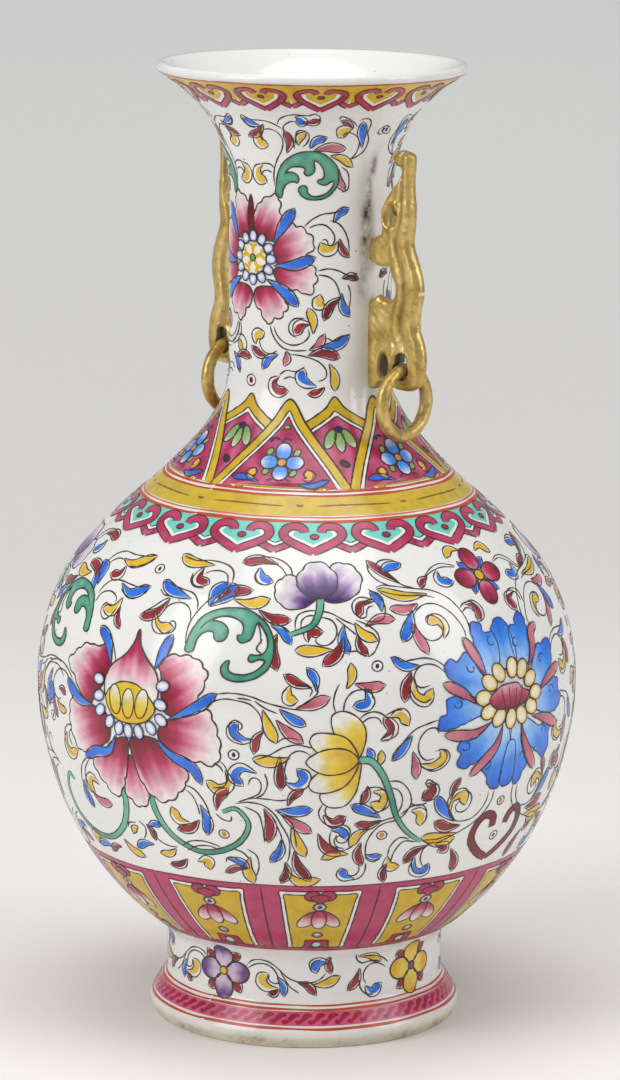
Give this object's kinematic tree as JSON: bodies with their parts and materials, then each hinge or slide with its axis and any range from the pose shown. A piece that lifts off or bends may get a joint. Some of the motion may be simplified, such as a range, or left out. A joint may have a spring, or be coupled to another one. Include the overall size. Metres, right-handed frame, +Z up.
{
  "type": "porcelain vase",
  "caption": "Pear-shaped porcelain bottle vase with a flared mouth, a spreading foot, gilt scroll handles on the neck and a loose ring hanging from each handle.",
  "frame": {"origin": "centre of the foot's resting plane, on the vase's axis", "axes": "+Z up along the vase's axis, +X through the right handle, -Y towards the front"},
  "size_m": [0.1686, 0.1686, 0.3],
  "materials": {
    "porcelain": "clear glaze over white porcelain, painted with raised coloured enamels",
    "gilding": "satin gilding over porcelain, worn to white at a few edges"
  },
  "bodies": {
    "vase": {"foot_ring": "porcelain", "lower_body": "porcelain", "upper_body": "porcelain", "neck_tube": "porcelain", "flared_mouth": "porcelain", "handle_right": "gilding", "handle_left": "gilding"},
    "ring_right": {"ring_right": "gilding"},
    "ring_left": {"ring_left": "gilding"}
  },
  "joints": [
    {"name": "ring_right_swing", "type": "hinge", "parent": "vase", "child": "ring_right", "pos_m": [0.038, 0, 0.2085], "axis": [-0.0349, -0.9994, 0], "range_deg": [-6, 150]},
    {"name": "ring_left_swing", "type": "hinge", "parent": "vase", "child": "ring_left", "pos_m": [-0.03772, 0.00463, 0.2085], "axis": [-0.0523, 0.9986, 0], "range_deg": [-6, 150]}
  ]
}
